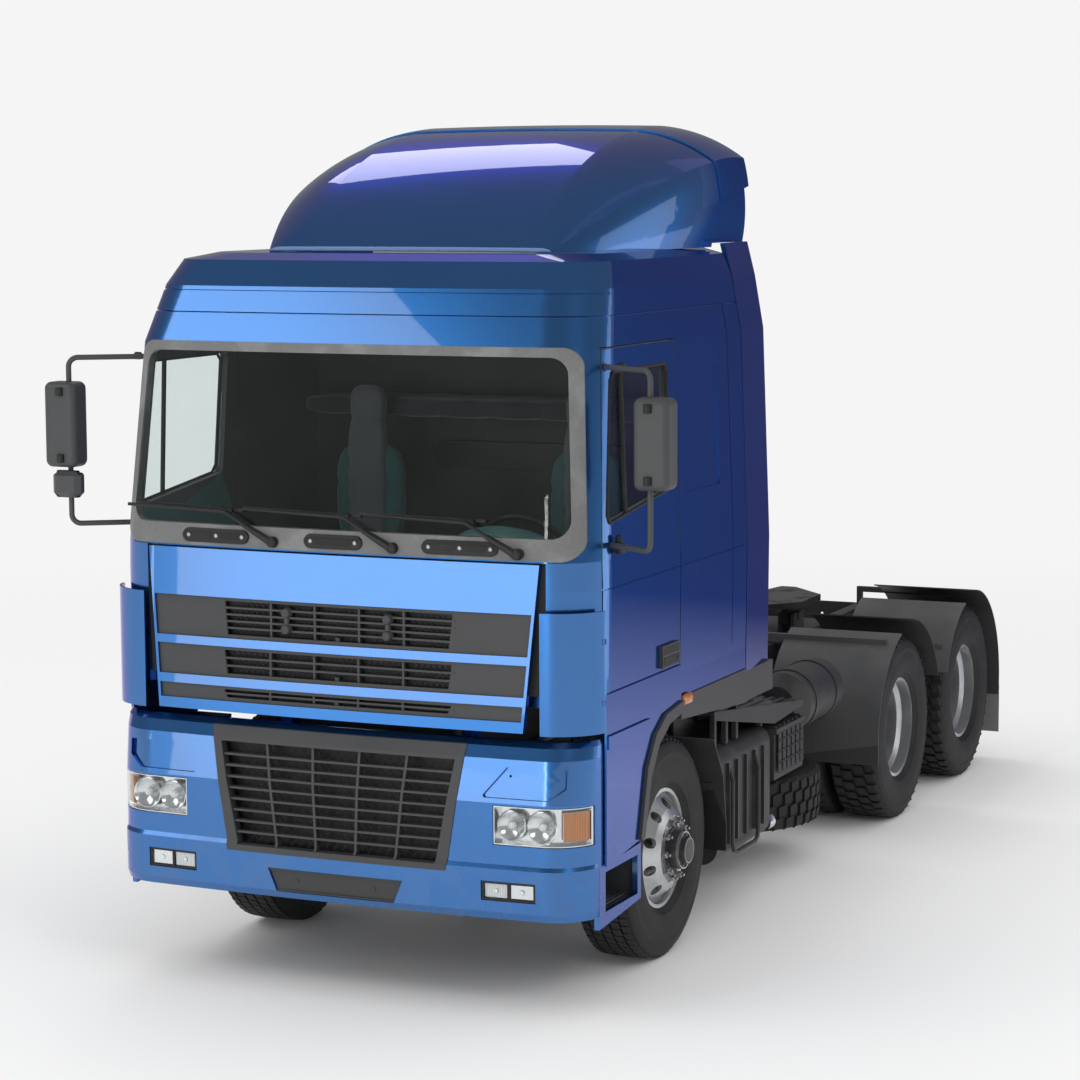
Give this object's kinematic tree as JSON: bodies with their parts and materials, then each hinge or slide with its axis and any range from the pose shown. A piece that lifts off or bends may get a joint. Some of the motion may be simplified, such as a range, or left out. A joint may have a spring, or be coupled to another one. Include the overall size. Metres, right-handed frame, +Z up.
{
  "type": "three-axle tractor unit",
  "caption": "Cab-over tractor unit with sleeper cab, roof deflector, tilting cab, opening doors, steered front axle and two twin-wheel rear axles.",
  "frame": {"origin": "on the ground below the middle of the truck", "axes": "+Z up, -Y towards the front, +X towards the truck's left side"},
  "size_m": [3.22, 7.0086, 4.0731],
  "materials": {
    "chassis_paint": "satin",
    "blue_paint": "metallic",
    "trim_plastic": "satin",
    "lamp_glass": "clear",
    "guard_plastic": "satin",
    "galvanised": "satin",
    "tyre_rubber": "matte",
    "tank_aluminium": "satin",
    "tail_red": "gloss",
    "coupling_steel": "greased",
    "glass": "clear",
    "frame_rubber": "satin",
    "interior_plastic": "satin",
    "seat_cloth": "woven",
    "wheel_steel": "satin"
  },
  "bodies": {
    "chassis": {"frame_rails": "chassis_paint", "cab_mounts": "chassis_paint", "engine_block": "chassis_paint", "front_axle": "chassis_paint", "suspension": "chassis_paint", "drive_axles": "chassis_paint", "bumper": "blue_paint", "bumper_grille": "trim_plastic", "front_lamps": "lamp_glass", "entry_steps": "trim_plastic", "front_mudguards": "guard_plastic", "silencer": "galvanised", "battery_box": "guard_plastic", "air_tank": "chassis_paint", "spare_wheel": "tyre_rubber", "spare_carrier": "chassis_paint", "fuel_tank": "tank_aluminium", "rear_mudguards": "guard_plastic", "tail_lamps": "tail_red", "fifth_wheel_mount": "chassis_paint"},
    "fifth_wheel": {"fifth_wheel": "coupling_steel"},
    "cab": {"cab_shell": "blue_paint", "cab_roof": "blue_paint", "windscreen": "glass", "windscreen_frame": "frame_rubber", "cab_side_trim": "trim_plastic", "roof_deflector": "blue_paint", "side_fairings": "blue_paint", "corner_vanes": "blue_paint", "dashboard": "interior_plastic", "seats": "seat_cloth", "bunks": "seat_cloth"},
    "front_lid": {"front_lid": "blue_paint", "lid_grille": "trim_plastic"},
    "door_left": {"door_left": "blue_paint", "door_glass_left": "glass", "mirror_left": "trim_plastic", "door_trim_left": "trim_plastic"},
    "knuckle_left": {"knuckle_left": "chassis_paint"},
    "front_wheel_left": {"front_tyre_left": "tyre_rubber", "front_rim_left": "wheel_steel"},
    "rear_wheels_1_left": {"rear_tyres_1_left": "tyre_rubber", "rear_rims_1_left": "wheel_steel"},
    "rear_wheels_2_left": {"rear_tyres_2_left": "tyre_rubber", "rear_rims_2_left": "wheel_steel"},
    "door_right": {"door_right": "blue_paint", "door_glass_right": "glass", "mirror_right": "trim_plastic", "door_trim_right": "trim_plastic"},
    "knuckle_right": {"knuckle_right": "chassis_paint"},
    "front_wheel_right": {"front_tyre_right": "tyre_rubber", "front_rim_right": "wheel_steel"},
    "rear_wheels_1_right": {"rear_tyres_1_right": "tyre_rubber", "rear_rims_1_right": "wheel_steel"},
    "rear_wheels_2_right": {"rear_tyres_2_right": "tyre_rubber", "rear_rims_2_right": "wheel_steel"}
  },
  "joints": [
    {"name": "cab_tilt", "type": "hinge", "parent": "chassis", "child": "cab", "pos_m": [0, -3.15, 1], "axis": [1, 0, 0], "range_deg": [0, 60]},
    {"name": "front_lid_hinge", "type": "hinge", "parent": "cab", "child": "front_lid", "pos_m": [0, -3.43, 2.067], "axis": [-1, 0, 0], "range_deg": [0, 75]},
    {"name": "fifth_wheel_rock", "type": "hinge", "parent": "chassis", "child": "fifth_wheel", "pos_m": [0, 1.95, 1.095], "axis": [1, 0, 0], "range_deg": [-12, 12]},
    {"name": "door_left_hinge", "type": "hinge", "parent": "cab", "child": "door_left", "pos_m": [1.248, -3.215, 2], "axis": [0, 0, -1], "range_deg": [0, 65]},
    {"name": "steer_left", "type": "hinge", "parent": "chassis", "child": "knuckle_left", "pos_m": [0.88, -2.14, 0.542], "axis": [0, 0, 1], "range_deg": [-38, 38]},
    {"name": "front_wheel_left_spin", "type": "hinge", "parent": "knuckle_left", "child": "front_wheel_left", "pos_m": [0.98, -2.14, 0.542], "axis": [1, 0, 0], "continuous": true},
    {"name": "rear_wheels_1_left_spin", "type": "hinge", "parent": "chassis", "child": "rear_wheels_1_left", "pos_m": [0.9115, 1.42, 0.542], "axis": [1, 0, 0], "continuous": true},
    {"name": "rear_wheels_2_left_spin", "type": "hinge", "parent": "chassis", "child": "rear_wheels_2_left", "pos_m": [0.9115, 2.79, 0.542], "axis": [1, 0, 0], "continuous": true},
    {"name": "door_right_hinge", "type": "hinge", "parent": "cab", "child": "door_right", "pos_m": [-1.248, -3.215, 2], "axis": [0, 0, 1], "range_deg": [0, 65]},
    {"name": "steer_right", "type": "hinge", "parent": "chassis", "child": "knuckle_right", "pos_m": [-0.88, -2.14, 0.542], "axis": [0, 0, 1], "range_deg": [-38, 38]},
    {"name": "front_wheel_right_spin", "type": "hinge", "parent": "knuckle_right", "child": "front_wheel_right", "pos_m": [-0.98, -2.14, 0.542], "axis": [1, 0, 0], "continuous": true},
    {"name": "rear_wheels_1_right_spin", "type": "hinge", "parent": "chassis", "child": "rear_wheels_1_right", "pos_m": [-0.9115, 1.42, 0.542], "axis": [1, 0, 0], "continuous": true},
    {"name": "rear_wheels_2_right_spin", "type": "hinge", "parent": "chassis", "child": "rear_wheels_2_right", "pos_m": [-0.9115, 2.79, 0.542], "axis": [1, 0, 0], "continuous": true}
  ],
  "couplings": [
    {"joint": "steer_right", "follows": "steer_left", "ratio": 1}
  ]
}
